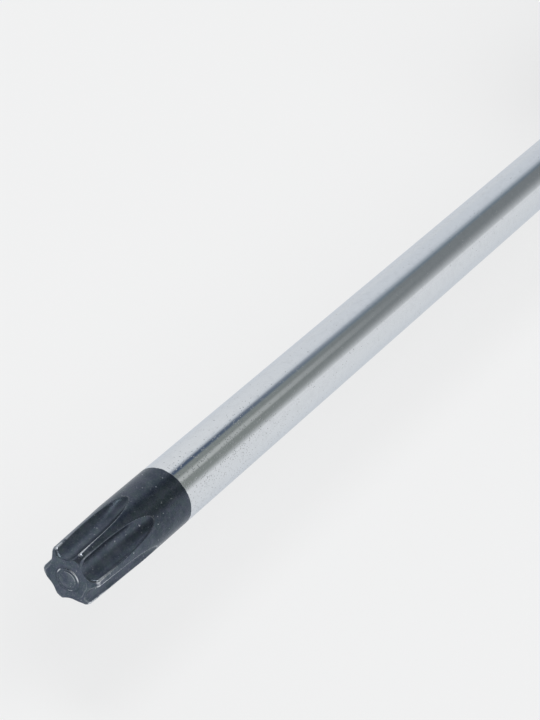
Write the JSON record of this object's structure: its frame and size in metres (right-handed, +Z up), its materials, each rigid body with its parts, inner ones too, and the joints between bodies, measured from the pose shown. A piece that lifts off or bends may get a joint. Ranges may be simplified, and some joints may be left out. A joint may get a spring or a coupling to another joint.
{
  "type": "six-lobe screwdriver",
  "caption": "Fixed-blade screwdriver with a blackened six-lobe tip on a round plated blade, and a hard handle with flats, soft inlaid pads, a soft finger grip and a hang hole.",
  "frame": {"origin": "on the table, under the middle of the tool's length and width", "axes": "+X along the blade towards the tip, +Z up from the table, the tool lying on one flat of its handle"},
  "size_m": [0.238, 0.0326, 0.029],
  "materials": {
    "plated_steel": "satin plated steel with a blackened tip",
    "core_plastic": "as moulded",
    "body_plastic": "fine spark-eroded grain",
    "soft_grip": "matt soft plastic",
    "cap_plastic": "fine spark-eroded grain",
    "disc_plastic": "smooth"
  },
  "bodies": {
    "root": {"blade": "plated_steel", "tang_core": "core_plastic", "handle_body": "body_plastic", "finger_grip": "soft_grip", "end_cap": "cap_plastic", "size_disc": "disc_plastic", "palm_pad_1": "soft_grip", "palm_pad_2": "soft_grip", "palm_pad_3": "soft_grip", "palm_pad_4": "soft_grip", "palm_pad_5": "soft_grip", "palm_pad_6": "soft_grip"}
  },
  "joints": []
}
